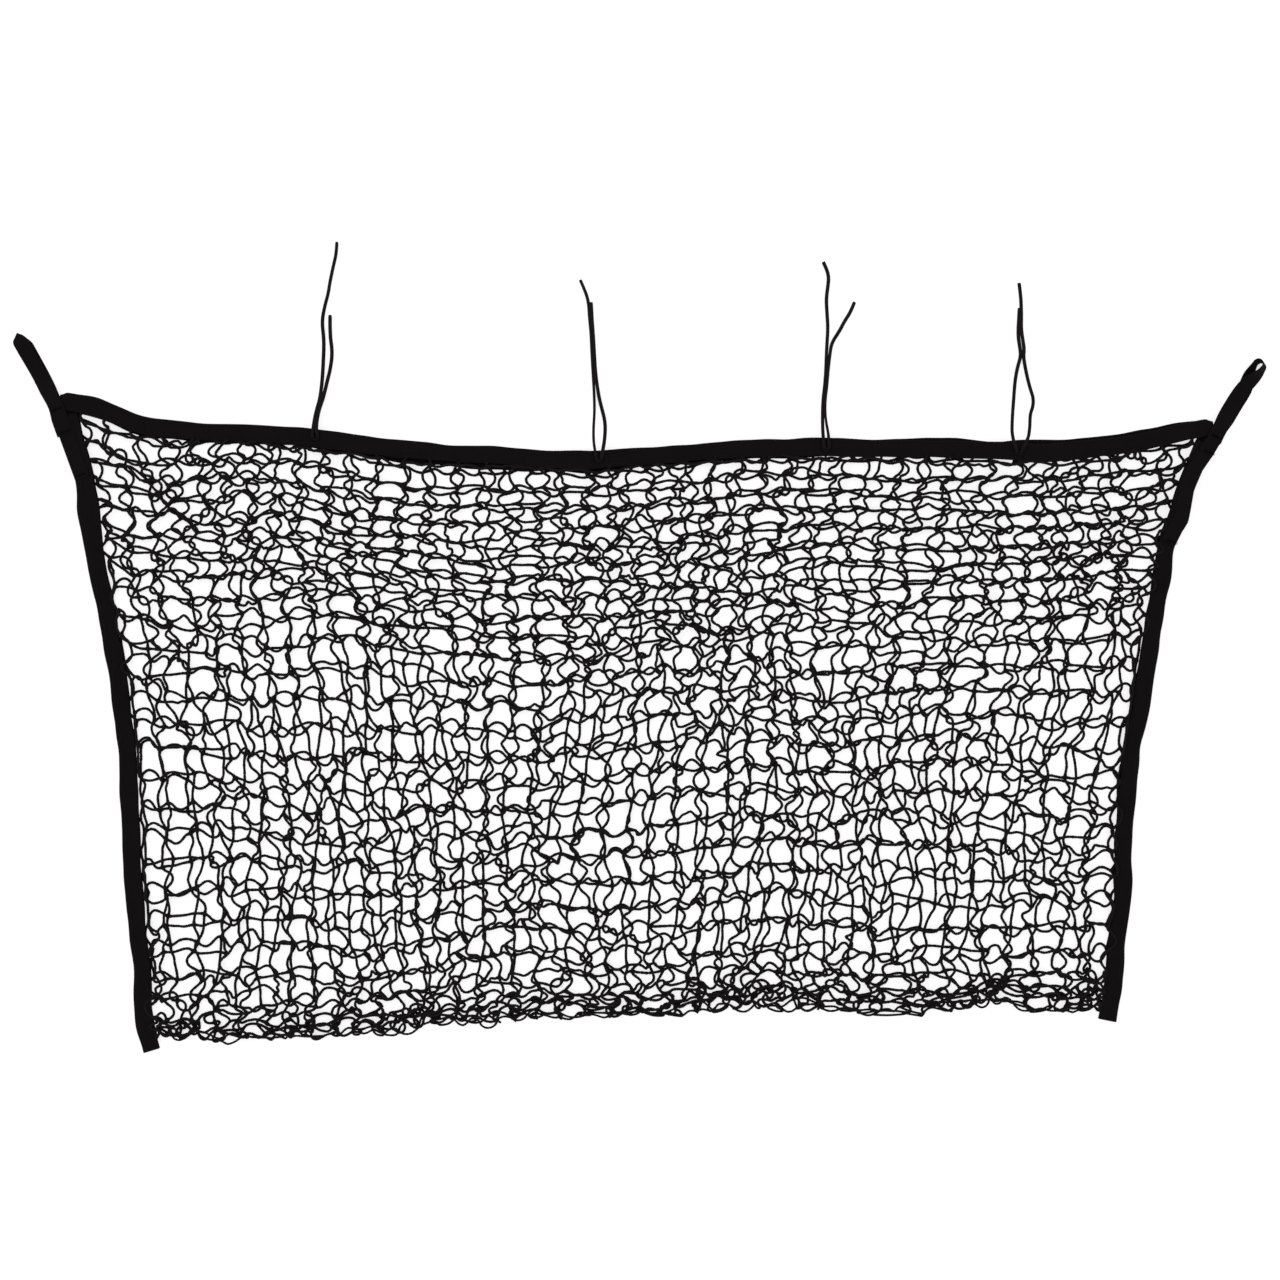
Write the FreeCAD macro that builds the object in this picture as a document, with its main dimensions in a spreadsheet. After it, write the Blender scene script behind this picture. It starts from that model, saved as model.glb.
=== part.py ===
import FreeCAD, Part
import math
import os
from FreeCAD import Placement, Rotation, Vector
from Sketcher import Constraint

# Hay net lying flat: two netting panels that share a folded bottom, bound with
# folded tape at the mouth and the sides, with two webbing hanging loops at the top
# corners and four cord ties along the mouth. Millimetres, +X to the right along the
# mouth, +Y towards the mouth, +Z up from the surface that the net lies on.

# ---------------------------------------------------------------- driving sizes

SIZES = {
    "twine": 3.0,             # netting twine
    "mesh_columns": 40,       # meshes across the mouth
    "mesh_rows": 25,          # meshes from mouth to bottom
    "row_growth": 0.25,       # how much the rows open towards the bottom
    "tape_width": 23.0,       # binding tape, folded
    "tape": 0.8,              # thickness of the binding tape
    "play": 0.05,             # between the netting and the tape folded over it
    "mouth_gap": 5.0,         # between the back rim and the front rim
    "strap_width": 20.0,      # webbing of the hanging loops
    "strap": 1.2,             # thickness of that webbing
    "eye_radius": 5.5,        # outside radius of the fold at a loop's end
    "hinge_gap": 0.3,         # from a loop's root line to the strap
    "tail_gap": 2.0,          # from a loop's root line to its sewn tails
    "slope": 50.0,            # length of a loop's fall from its root to the surface
    "sewn": 8.0,              # length over which the two layers of a loop stay together
    "thread": 0.5,            # height of a row of stitching
    "thread_inset": 4.0,      # from the tape's open edge to its row of stitching
    "bare_share": 0.1,        # share of a tape's end runs that has no stitching
    "bartack": 3.0,           # length of a bar tack
    "tie": 5.0,               # diameter of a tie's cord
    "bight_radius": 3.2,      # centreline radius of a tie's folded middle
    "bight_gap": 1.6,         # from the folded middle to each tail
    "bartack_reach": 8.0,     # half length of the bar tack over a tie
    "left_loop_length": 106.5,
    "left_long_tail": 105.0,
    "left_short_tail": 44.0,
    "right_loop_length": 111.0,
    "right_long_tail": 163.0,
    "right_short_tail": 35.0,
    "left_root_x": -776.6, "left_root_y": 382.6,
    "left_loop_heading": 118.8, "left_tail_heading": -70.0,
    "right_root_x": 768.7, "right_root_y": 346.0,
    "right_loop_heading": 57.3, "right_tail_heading": -112.6,
}

# Centrelines of the tapes in plan. The folded edge is on the left of the way they run.
ROUTES = {
    "front_rim": [(-764.7, 386.0), (-726.0, 379.5), (-700.0, 370.0), (-675.0, 359.0),
                  (-648.0, 351.5), (-612.0, 348.8), (-586.0, 347.3), (-452.7, 339.3),
                  (-392.7, 334.0), (-319.3, 322.0), (-186.0, 314.0), (-66.0, 307.3),
                  (27.3, 315.3), (160.7, 324.7), (294.0, 324.7), (427.3, 322.0),
                  (547.3, 318.0), (654.0, 328.7), (714.0, 343.3), (756.7, 351.3)],
    "back_rim": [(-764.7, 386.0), (-726.0, 378.0), (-700.0, 367.5), (-675.0, 356.5),
                 (-648.0, 349.0), (-612.0, 346.5), (-586.0, 344.7), (-452.7, 339.3),
                 (-386.0, 328.7), (-292.7, 314.0), (-186.0, 307.3), (-66.0, 302.7),
                 (27.3, 312.7), (160.7, 322.7), (294.0, 324.7), (387.3, 326.7),
                 (480.7, 322.0), (574.0, 324.7), (654.0, 333.3), (714.0, 347.3),
                 (756.7, 351.3)],
    "left_side": [(-650.0, -478.0), (-658.5, -452.0), (-661.5, -420.0), (-662.5, -364.7),
                  (-673.5, -278.0), (-678.5, -171.3), (-682.5, -78.0), (-694.0, 15.3),
                  (-713.0, 122.0), (-727.3, 195.3), (-732.7, 255.3), (-746.0, 319.3),
                  (-760.8, 366.8)],
    "right_side": [(751.3, 330.0), (727.0, 268.7), (702.0, 191.3), (690.5, 122.0),
                   (676.0, 38.0), (666.5, -26.0), (655.0, -76.0), (650.5, -140.0),
                   (645.0, -204.7), (645.2, -271.3), (634.5, -344.7), (631.3, -398.0),
                   (623.3, -438.0)],
    "bottom": [(630.0, -419.3), (480.7, -415.3), (347.3, -420.7), (174.0, -410.0),
               (14.0, -420.7), (-132.7, -430.0), (-319.3, -446.0), (-519.3, -456.7),
               (-652.7, -454.0)],
}

# Each tie is one cord folded in the middle. A tail starts at the folded middle, rises
# over the rim's edge and lies down on the surface. The first point is set by the root.
TIES = {
    "tie_1": {"root": (-431.3, 339.3),
              "left_tail": [(-434.0, 350.0, 18.2), (-427.3, 378.0, 12.0), (-424.7, 407.3, 4.6),
                            (-420.7, 444.7, 2.6), (-422.0, 488.7, 2.6), (-415.3, 534.0, 2.6),
                            (-407.3, 570.0, 2.6), (-403.3, 599.3, 2.6)],
              "right_tail": [(-427.6, 350.0, 18.2), (-421.4, 378.0, 12.0), (-418.0, 407.3, 4.6),
                             (-411.3, 436.7, 2.6), (-409.3, 464.7, 2.6), (-412.0, 484.0, 2.6),
                             (-411.3, 502.0, 2.6)]},
    "tie_2": {"root": (-54.0, 310.0),
              "left_tail": [(-61.3, 326.0, 18.6), (-60.7, 355.3, 10.0), (-62.0, 398.0, 2.6),
                            (-62.7, 439.3, 2.6), (-64.7, 482.0, 2.6), (-66.7, 518.0, 2.6),
                            (-72.7, 534.0, 2.6), (-79.3, 548.7, 2.6)],
              "right_tail": [(-47.3, 326.0, 18.6), (-45.3, 350.0, 11.0), (-49.3, 376.0, 4.6),
                             (-56.0, 404.7, 2.6), (-56.7, 431.3, 2.6), (-58.4, 475.3, 2.6),
                             (-60.3, 518.0, 2.6)]},
    "tie_3": {"root": (248.7, 325.0),
              "left_tail": [(243.3, 340.7, 18.6), (243.3, 372.0, 9.0), (244.7, 408.7, 2.6),
                            (246.0, 439.3, 2.6), (248.7, 475.3, 2.6), (248.4, 514.0, 2.6),
                            (252.0, 548.7, 2.6), (244.7, 572.7, 2.6)],
              "right_tail": [(252.7, 340.7, 18.6), (250.7, 372.0, 9.0), (250.9, 408.7, 2.6),
                             (252.7, 438.0, 2.6), (258.0, 462.0, 2.6), (270.0, 487.3, 2.6),
                             (280.7, 506.0, 2.6), (286.0, 519.3, 2.6)]},
    "tie_4": {"root": (504.7, 319.3),
              "left_tail": [(495.3, 335.3, 18.6), (496.7, 367.0, 9.6), (500.7, 406.0, 2.6),
                            (506.7, 439.3, 2.6), (505.3, 471.3, 2.6), (506.0, 496.0, 2.6),
                            (506.6, 511.3, 2.6)],
              "right_tail": [(516.0, 335.3, 18.6), (520.0, 367.0, 9.6), (521.6, 394.0, 3.4),
                             (516.7, 415.3, 2.6), (512.7, 438.0, 2.6), (514.0, 458.0, 2.6),
                             (512.0, 484.7, 2.6), (512.7, 522.0, 2.6), (506.0, 544.7, 2.6)]},
}

doc = FreeCAD.newDocument("hay_net")
sheet = doc.addObject("Spreadsheet::Sheet", "sizes")


def fill_sheet():
    """One row of the sheet for each size and for each coordinate of a tape's centreline."""
    entries = dict(SIZES)
    for name, route in ROUTES.items():
        for number, (x, y) in enumerate(route):
            entries[f"{name}_{number}_x"] = x
            entries[f"{name}_{number}_y"] = y
    for row, (alias, value) in enumerate(entries.items(), start=1):
        sheet.set(f"A{row}", alias)
        sheet.set(f"B{row}", str(value))
        sheet.setAlias(f"B{row}", alias)
    doc.recompute()


def size(name):
    return float(getattr(sheet, name))


def route_points(name):
    count = len(ROUTES[name])
    return [Vector(size(f"{name}_{k}_x"), size(f"{name}_{k}_y"), 0) for k in range(count)]


fill_sheet()

# Heights of the stack, as expressions of the sheet.
PANEL = "(2 * sizes.tape + sizes.twine + 2 * sizes.play)"
FRONT_BASE = f"({PANEL} + sizes.mouth_gap)"
STACK = f"({FRONT_BASE} + {PANEL})"


def value_of(expression):
    return float(sheet.evalExpression(expression.replace("sizes.", "")))


# ---------------------------------------------------------------- sketch helpers


def origin_plane(body, role):
    return next(o for o in body.Origin.OriginFeatures if o.Role == role)


def new_sketch(body, name, role="XY_Plane"):
    sketch = body.newObject("Sketcher::SketchObject", name)
    sketch.AttachmentSupport = [(origin_plane(body, role), "")]
    sketch.MapMode = "FlatFace"
    return sketch


def pin_point(sketch, edge, end, x_expression, y_expression):
    """Binds one end of an edge to two expressions of the sheet."""
    for kind, expression in (("DistanceX", x_expression), ("DistanceY", y_expression)):
        at = sketch.addConstraint(Constraint(kind, -1, 1, edge, end, value_of(expression)))
        sketch.setExpression(f"Constraints[{at}]", expression)


def half_arc(low, high):
    """The arc from low up to high that bulges to the right of the line between them."""
    middle = (low + high) * 0.5
    bulge = middle + Vector((high - low).y, 0, 0) * 0.5
    return Part.Arc(low, bulge, high)


def draw_outline(sketch, corners, arcs=()):
    """A closed outline through corners given as pairs of expressions. An edge listed in
    arcs is a half circle that bulges towards +x of the sketch."""
    points = [Vector(value_of(x), value_of(y), 0) for x, y in corners]
    first = sketch.GeometryCount
    count = len(points)
    ends = []
    for k in range(count):
        start, stop = points[k], points[(k + 1) % count]
        rising = start.y < stop.y
        if k in arcs:
            low, high = (start, stop) if rising else (stop, start)
            sketch.addGeometry(half_arc(low, high), False)
            ends.append((1, 2) if rising else (2, 1))
        else:
            sketch.addGeometry(Part.LineSegment(start, stop), False)
            ends.append((1, 2))
    for k in range(count):
        edge, after = first + k, first + (k + 1) % count
        sketch.addConstraint(Constraint("Coincident", edge, ends[k][1], after, ends[(k + 1) % count][0]))
    for k, (x, y) in enumerate(corners):
        pin_point(sketch, first + k, ends[k][0], x, y)
    for k in arcs:
        at = sketch.addConstraint(Constraint("DistanceX", -1, 1, first + k, 3, points[k].x))
        sketch.setExpression(f"Constraints[{at}]", corners[k][0])


def new_body(label):
    body = doc.addObject("PartDesign::Body", label)
    body.Label = label
    return body


def bare_ends(points, share):
    """The points with both end ones moved along their runs by a share of each run."""
    first = points[0] + (points[1] - points[0]) * share
    last = points[-1] + (points[-2] - points[-1]) * share
    return [first] + points[1:-1] + [last]


def sweep_along(label, route_name, corners, arcs=(), bare="0"):
    """A body swept along a tape's centreline. In the section +x points to the left of the
    way the route runs, which is the outside of the net, and +y points up. bare is the
    share of the two end runs that is left out."""
    body = new_body(label)
    route = new_sketch(body, f"{label}_route")
    points = bare_ends(route_points(route_name), value_of(bare))
    for start, stop in zip(points, points[1:]):
        route.addGeometry(Part.LineSegment(start, stop), False)
    last = len(points) - 1
    for k in range(last - 1):
        route.addConstraint(Constraint("Coincident", k, 2, k + 1, 1))
    for k in range(len(points)):
        edge, end = (k, 1) if k < last else (k - 1, 2)
        near = {0: 1, last: last - 1}.get(k, k)
        here, there = (f"sizes.{route_name}_{number}_" for number in (k, near))
        x, y = (f"{here}{axis} * (1 - {bare}) + {there}{axis} * {bare}" for axis in "xy")
        pin_point(route, edge, end, x, y)
    forward = (points[1] - points[0]).normalize()
    leftward = Vector(-forward.y, forward.x, 0)
    section = new_sketch(body, f"{label}_section")
    section.AttachmentOffset = Placement(points[0], Rotation(leftward, Vector(0, 0, 1), forward, "ZXY"))
    draw_outline(section, corners, arcs)
    doc.recompute()
    pipe = body.newObject("PartDesign::AdditivePipe", f"{label}_sweep")
    pipe.Profile = section
    pipe.Spine = (route, [f"Edge{k + 1}" for k in range(last)])
    pipe.Mode = "Binormal"
    pipe.Binormal = Vector(0, 0, 1)
    pipe.Transition = "Right corner"
    return body


# ---------------------------------------------------------------- tape and stitching


def folded_tape(label, route_name, base, top):
    """Tape folded over the netting's edge: two leaves joined by the fold on the outside."""
    inner, outer = "-sizes.tape_width / 2", "sizes.tape_width / 2"
    fold = f"{outer} - sizes.tape"
    floor, ceiling = f"{base} + sizes.tape", f"{top} - sizes.tape"
    corners = [(inner, base), (outer, base), (outer, top), (inner, top),
               (inner, ceiling), (fold, ceiling), (fold, floor), (inner, floor)]
    return sweep_along(label, route_name, corners)


def stitch_row(label, route_name, base):
    """One row of thread on the upper leaf, beside the tape's open edge."""
    near = "-sizes.tape_width / 2 + sizes.thread_inset"
    far = f"{near} + 2 * sizes.thread"
    top = f"{base} + sizes.thread"
    corners = [(near, base), (far, base), (far, top), (near, top)]
    return sweep_along(label, route_name, corners, bare="sizes.bare_share")


def bottom_fold(label):
    """The netting where it turns under from the front panel to the back panel."""
    low, high = "sizes.tape + sizes.play", f"{STACK} - sizes.tape - sizes.play"
    corners = [("0", low), ("0", high), ("0", f"{high} - sizes.twine"), ("0", f"{low} + sizes.twine")]
    return sweep_along(label, "bottom", corners, arcs=(0, 2))


# ---------------------------------------------------------------- netting panels


def along(points, share):
    """The point at a share of a polyline's length."""
    lengths = [(b - a).Length for a, b in zip(points, points[1:])]
    left = share * sum(lengths)
    for start, stop, length in zip(points, points[1:], lengths):
        if left <= length:
            return start + (stop - start) * (left / length)
        left -= length
    return points[-1]


def crossing_grid(rim_name):
    """Where the twines cross, as rows of points blended between the four bound edges."""
    columns, rows = int(size("mesh_columns")), int(size("mesh_rows"))
    growth = size("row_growth")
    lift = Vector(0, size("twine") / 2, 0)
    top = route_points(rim_name)
    bottom = [p + lift for p in reversed(route_points("bottom"))]
    left = [top[0]] + route_points("left_side")[-1:1:-1] + [bottom[0]]
    right = [top[-1]] + route_points("right_side")[:-2] + [bottom[-1]]
    grid = []
    for row in range(rows + 1):
        step = row / rows
        v = (step + growth * step * step) / (1 + growth)
        a, b = along(left, v), along(right, v)
        line = []
        for column in range(columns + 1):
            u = column / columns
            edges = along(top, u) * (1 - v) + along(bottom, u) * v + a * (1 - u) + b * u
            corners = (top[0] * (1 - u) + top[-1] * u) * (1 - v) + (bottom[0] * (1 - u) + bottom[-1] * u) * v
            line.append(edges - corners)
        grid.append(line)
    return grid


def hole_wire(ring, inset):
    """The opening of one mesh: its four crossings moved in by half a twine. It runs the
    other way round from the panel's outline, which is what makes it a hole."""
    corners = []
    for k in range(4):
        one = (ring[(k + 1) % 4] - ring[k]).normalize()
        other = (ring[k - 1] - ring[k]).normalize()
        sine = one.cross(other).Length
        corners.append(ring[k] + (one + other) * (inset / sine))
    return Part.makePolygon(corners + corners[:1])


def netting_panel(label, rim_name, base):
    """A square-mesh panel: every mesh is a hole between crossing twines."""
    half = size("twine") / 2
    grid = crossing_grid(rim_name)
    across, up = Vector(half, 0, 0), Vector(0, half, 0)
    upper = [p + up for p in grid[0]]
    upper[0] -= across
    upper[-1] += across
    right = [row[-1] + across for row in grid[1:-1]]
    left = [row[0] - across for row in reversed(grid[1:-1])]
    outline = upper + right + route_points("bottom") + left
    wires = [Part.makePolygon(outline + outline[:1])]
    for row_above, row_below in zip(grid, grid[1:]):
        for k in range(len(row_above) - 1):
            ring = [row_above[k], row_below[k], row_below[k + 1], row_above[k + 1]]
            wires.append(hole_wire(ring, half))
    panel = doc.addObject("Part::Feature", label)
    panel.Label = label
    panel.Shape = Part.Face(wires).extrude(Vector(0, 0, size("twine")))
    panel.Placement = Placement(Vector(0, 0, value_of(base)), Rotation())
    return panel


# ---------------------------------------------------------------- hanging loops


def loop_strap(side):
    """The free part of a hanging loop: one strap folded back on itself round an eye."""
    label = f"{side}_loop_strap"
    body = new_body(label)
    profile = new_sketch(body, f"{label}_profile", "XZ_Plane")
    low, high = STACK, f"{STACK} + 2 * sizes.strap"
    start, end = "sizes.hinge_gap", f"sizes.{side}_loop_length - sizes.eye_radius"
    crest = "2 * sizes.eye_radius"
    outside = [(start, low), ("sizes.slope", "0"), (end, "0"), (end, crest), (start, high)]
    draw_outline(profile, outside, arcs=(2,))
    sewn_low = f"{low} + sizes.strap - {low} * sizes.sewn / sizes.slope"
    sewn_high = f"{high} - sizes.strap - ({high} - {crest}) * sizes.sewn / ({end})"
    draw_outline(profile, [("sizes.sewn", sewn_low), ("sizes.slope", "sizes.strap"), (end, "sizes.strap"),
                           (end, f"{crest} - sizes.strap"), ("sizes.sewn", sewn_high)], arcs=(2,))
    doc.recompute()
    pad = body.newObject("PartDesign::Pad", f"{label}_pad")
    pad.Profile = profile
    pad.SideType = "Symmetric"
    pad.setExpression("Length", "sizes.strap_width")
    body.Placement = Placement(Vector(size(f"{side}_root_x"), size(f"{side}_root_y"), 0),
                               Rotation(Vector(0, 0, 1), size(f"{side}_loop_heading")))
    return body


def sewn_box(label, side, length, base, height, start="sizes.tail_gap", width="sizes.strap_width"):
    """A flat box along a loop's sewn tails, start being its distance from the loop's root."""
    box = doc.addObject("Part::Box", label)
    box.Label = label
    box.setExpression("Length", length)
    box.setExpression("Width", width)
    box.setExpression("Height", height)
    turn = Rotation(Vector(0, 0, 1), size(f"{side}_tail_heading"))
    root = Vector(size(f"{side}_root_x"), size(f"{side}_root_y"), value_of(base))
    corner = Vector(value_of(start), -value_of(width) / 2, 0)
    box.Placement = Placement(root + turn.multVec(corner), turn)
    return box


def loop_tails(side):
    """Both ends of the strap, sewn one over the other on the side tape, and their bar tacks."""
    parts = [sewn_box(f"{side}_loop_long_tail", side, f"sizes.{side}_long_tail", STACK,
                      "sizes.strap"),
             sewn_box(f"{side}_loop_short_tail", side, f"sizes.{side}_short_tail",
                      f"{STACK} + sizes.strap", "sizes.strap")]
    short_top = f"{STACK} + 2 * sizes.strap"
    tack_width = "sizes.strap_width - 2 * sizes.bartack"
    for name, start, base in (("upper", "2 * sizes.bartack", short_top),
                              ("middle", f"sizes.{side}_short_tail - 2 * sizes.bartack", short_top),
                              ("lower", f"sizes.{side}_long_tail - 2 * sizes.bartack",
                               f"{STACK} + sizes.strap")):
        parts.append(sewn_box(f"{side}_loop_{name}_bartack", side, "sizes.bartack", base,
                              "sizes.thread", start, tack_width))
    return parts


# ---------------------------------------------------------------- ties


def rounded_path(points):
    """Straight runs joined by tangent arcs, each arc as large as its two runs allow."""
    edges, radii, start = [], [], points[0]
    for before, here, after in zip(points, points[1:], points[2:]):
        back, on = before - here, after - here
        half_turn = (math.pi - back.getAngle(on)) / 2
        cut = 0.45 * min(back.Length, on.Length)
        radii.append(cut / math.tan(half_turn))
        entry = here + back.normalize() * cut
        leave = here + on.normalize() * cut
        bisector = (back + on).normalize()
        crown = here + bisector * (radii[-1] * (1 / math.cos(half_turn) - 1))
        edges += [Part.LineSegment(start, entry).toShape(), Part.Arc(entry, crown, leave).toShape()]
        start = leave
    edges.append(Part.LineSegment(start, points[-1]).toShape())
    return Part.Wire(edges), radii


def tie_tail(label, root, points, side):
    """A round cord swept along the tail's route."""
    radius = size("tie") / 2
    base = value_of(STACK) + radius
    first = Vector(root[0] + side * size("bight_radius"), root[1] + size("bight_gap"), base)
    path, radii = rounded_path([first] + [Vector(*p) for p in points])
    ring = Part.Circle(first, path.Edges[0].tangentAt(path.Edges[0].FirstParameter), radius)
    section = Part.Wire(ring.toShape())
    tail = doc.addObject("Part::Feature", label)
    tail.Label = label
    tail.Shape = path.makePipeShell([section], True, True)
    wanted = math.pi * radius * radius * path.Length
    print(f"{label}: length {path.Length:.1f}, tightest radius {min(radii):.1f},"
          f" volume {tail.Shape.Volume:.0f} of {wanted:.0f}")
    return tail


def tie_root(name, root):
    """The folded middle of the cord on the front rim, and the bar tack that holds it."""
    base = Vector(root[0], root[1], value_of(STACK))
    bight = doc.addObject("Part::Torus", f"{name}_bight")
    bight.Label = f"{name}_bight"
    bight.setExpression("Radius1", "sizes.bight_radius")
    bight.setExpression("Radius2", "sizes.tie / 2")
    bight.Angle3 = 180
    bight.Placement = Placement(base + Vector(0, 0, size("tie") / 2), Rotation(Vector(0, 0, 1), 180))
    block = doc.addObject("Part::Box", f"{name}_bartack_block")
    block.setExpression("Length", "2 * sizes.bartack_reach")
    block.setExpression("Width", "sizes.bartack")
    block.setExpression("Height", "sizes.tie + sizes.thread")
    block.Placement = Placement(base + Vector(-size("bartack_reach"), -size("bartack") - 1, 0), Rotation())
    tack = doc.addObject("Part::Cut", f"{name}_bartack")
    tack.Label = f"{name}_bartack"
    tack.Base = block
    tack.Tool = bight
    return [bight, tack]


# ---------------------------------------------------------------- the whole net


def build_parts():
    back_base = "sizes.tape + sizes.play"
    front_base = f"{FRONT_BASE} + {back_base}"
    parts = [
        netting_panel("back_netting", "back_rim", back_base),
        netting_panel("front_netting", "front_rim", front_base),
        bottom_fold("bottom_fold_netting"),
        folded_tape("back_rim_tape", "back_rim", "0", PANEL),
        folded_tape("front_rim_tape", "front_rim", FRONT_BASE, STACK),
        folded_tape("left_side_tape", "left_side", "0", STACK),
        folded_tape("right_side_tape", "right_side", "0", STACK),
        stitch_row("back_rim_stitching", "back_rim", PANEL),
        stitch_row("front_rim_stitching", "front_rim", STACK),
    ]
    for side in ("left", "right"):
        parts.append(loop_strap(side))
        parts += loop_tails(side)
    for name, tie in TIES.items():
        parts += tie_root(name, tie["root"])
        for tail, side in (("left_tail", -1), ("right_tail", 1)):
            parts.append(tie_tail(f"{name}_{tail}", tie["root"], tie[tail], side))
    return parts


def export(parts):
    doc.recompute()
    for thing in doc.Objects:
        if "Invalid" in thing.State or "Error" in thing.State:
            raise RuntimeError(f"{thing.Label} failed: {thing.State}")
    os.makedirs("parts", exist_ok=True)
    for part in parts:
        if part.Shape.isNull() or not part.Shape.isValid():
            raise RuntimeError(f"{part.Label} has no valid shape")
        part.Shape.exportStep(f"parts/{part.Label}.step")
    total = Part.makeCompound([part.Shape for part in parts])
    print(f"{len(parts)} parts, volume {total.Volume:.0f}, {total.BoundBox}")


export(build_parts())
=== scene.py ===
import math

import bpy
import numpy as np
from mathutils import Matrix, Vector


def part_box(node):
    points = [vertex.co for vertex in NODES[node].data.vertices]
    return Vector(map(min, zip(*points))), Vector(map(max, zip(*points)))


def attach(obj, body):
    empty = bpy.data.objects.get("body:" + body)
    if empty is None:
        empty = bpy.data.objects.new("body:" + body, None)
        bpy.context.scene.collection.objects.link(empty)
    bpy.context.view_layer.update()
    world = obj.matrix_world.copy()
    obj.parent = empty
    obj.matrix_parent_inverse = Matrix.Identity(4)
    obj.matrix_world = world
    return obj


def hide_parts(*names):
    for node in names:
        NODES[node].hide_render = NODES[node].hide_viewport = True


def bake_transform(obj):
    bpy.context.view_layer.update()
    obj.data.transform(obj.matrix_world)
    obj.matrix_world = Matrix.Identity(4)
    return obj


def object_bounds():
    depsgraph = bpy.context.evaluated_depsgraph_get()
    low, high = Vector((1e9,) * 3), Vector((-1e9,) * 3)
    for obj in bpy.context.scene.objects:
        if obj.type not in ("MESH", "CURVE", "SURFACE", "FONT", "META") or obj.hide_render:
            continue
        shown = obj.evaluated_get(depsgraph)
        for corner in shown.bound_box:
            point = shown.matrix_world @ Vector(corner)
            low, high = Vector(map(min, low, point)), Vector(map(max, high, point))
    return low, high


# The hay net's looks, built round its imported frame. Metres, +X along the mouth, +Y from
# the folded bottom to the mouth, +Z up from the surface that the net lies on.

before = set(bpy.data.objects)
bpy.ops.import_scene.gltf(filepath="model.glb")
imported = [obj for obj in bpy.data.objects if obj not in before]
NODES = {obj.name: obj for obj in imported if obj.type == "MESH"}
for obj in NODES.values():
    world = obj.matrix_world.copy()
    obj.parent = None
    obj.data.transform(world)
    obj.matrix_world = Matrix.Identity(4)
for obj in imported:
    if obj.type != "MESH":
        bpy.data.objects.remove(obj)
cad_low, cad_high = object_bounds()
MM = 0.001
RIMS = {"back": ("back_rim_tape", "back_rim_stitching"), "front": ("front_rim_tape", "front_rim_stitching")}
SIDES = {"left": -1, "right": 1}

# -------- sizes

TWINE = 1.90 * MM           # radius of the netting twine
BAR = 40 * MM               # length of one side of a mesh
COLUMNS, ROWS = 42, 27      # meshes across and down one panel
CUTS = (0, 11, 21, 32, 42)  # columns at which a panel is cut into its four lengths
BUNCHED = 3                 # rows that lie gathered along the bottom
STEPS = 6                   # simulated steps in one bar
FINE = 4                    # drawn steps in each simulated one
ROUNDS = 80                 # of the twine's settling
# Middle height of a panel's twine, how much that sways, and how far a bar stands up from it.
PANEL_HEIGHT = {"back": (3.1 * MM, 0.25 * MM, 2.0 * MM), "front": (8.4 * MM, 1.2 * MM, 5.0 * MM)}
LOWEST = 2.95 * MM          # lowest middle of the twine, so that its thick crossings clear the surface
TAPE_HALF = 11.5 * MM       # half the width of the folded binding tape
TAPE_THICK = 0.9 * MM
TAPE_STEP = 4 * MM          # between two sections along a tape
SEAM = 4.5 * MM             # from a tape's open edge to its row of stitches
UNDER = 0.1 * MM            # from the surface to the tape on it
RIM_HEIGHT = 4.6 * MM       # of one folded tape of the mouth
RIM_LIFT = 9.7 * MM         # underside of the front rim's tape where it is held
RIM_SAG = 2.4 * MM          # how far that tape sinks between its held places
RIM_OVER = 7 * MM           # how far the drawn rims go on past the frame's middle lines
# The left side's tape lies wider below its loop: at this place, over this reach, by this share.
OPENED_AT, OPENED_REACH, OPENED = 0.238, 0.038, 0.26
SLIT = 4.5 * MM             # from the side tape to the first twine beside it
SIDE_HEIGHT = 8.8 * MM      # a side tape away from its corner
TUCKED = 15 * MM            # length of a side tape's end between the two rims
CORNER_HEIGHT = 14.3 * MM   # a side tape under the hanging loop
STRAP_HALF, STRAP_THICK = 10 * MM, 1.2 * MM
STRAP_LOW = 0.8 * MM        # middle of a strap that lies on the surface
RIGHT_ROLL = 65.0           # degrees that the right loop's end turns on its edge
SLOPE = 50 * MM             # a loop's fall from its root to the surface
CORD_WIDE, CORD_FLAT = 5.0 * MM, 3.3 * MM
CORD_SIDES, CORD_TIP = 12, 0.8      # sides of a cord, and the share of its size at its tip
CORD_LOW = 2.6 * MM         # middle of a cord that lies on the surface
BIGHT = 3.2 * MM            # centreline radius of a tie's folded middle
THREAD = 0.38 * MM          # radius of the sewing thread
TACK_THREAD = THREAD * 1.1  # radius of the thread of a bar tack

# Each loop folds over at its end; eye is the middle radius of that fold.
LOOPS = {
    "left": {"root": (-0.7766, 0.3826), "loop": 118.8, "tail": -70.0, "length": 0.1065,
             "long": 0.105, "short": 0.044, "eye": 4.9 * MM},
    "right": {"root": (0.7687, 0.3460), "loop": 57.3, "tail": -112.6, "length": 0.111,
              "long": 0.163, "short": 0.035, "eye": 6.6 * MM},
}
# The right loop's tail bends with the side tape under it. Its middle line from the root back.
BENT_TAIL = [(0.7687, 0.3460), (0.7610, 0.3315), (0.7538, 0.3192), (0.7384, 0.2967), (0.7275, 0.2700),
             (0.7226, 0.2417), (0.7199, 0.2285), (0.7127, 0.2175), (0.7043, 0.2007), (0.6990, 0.1890)]

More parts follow.
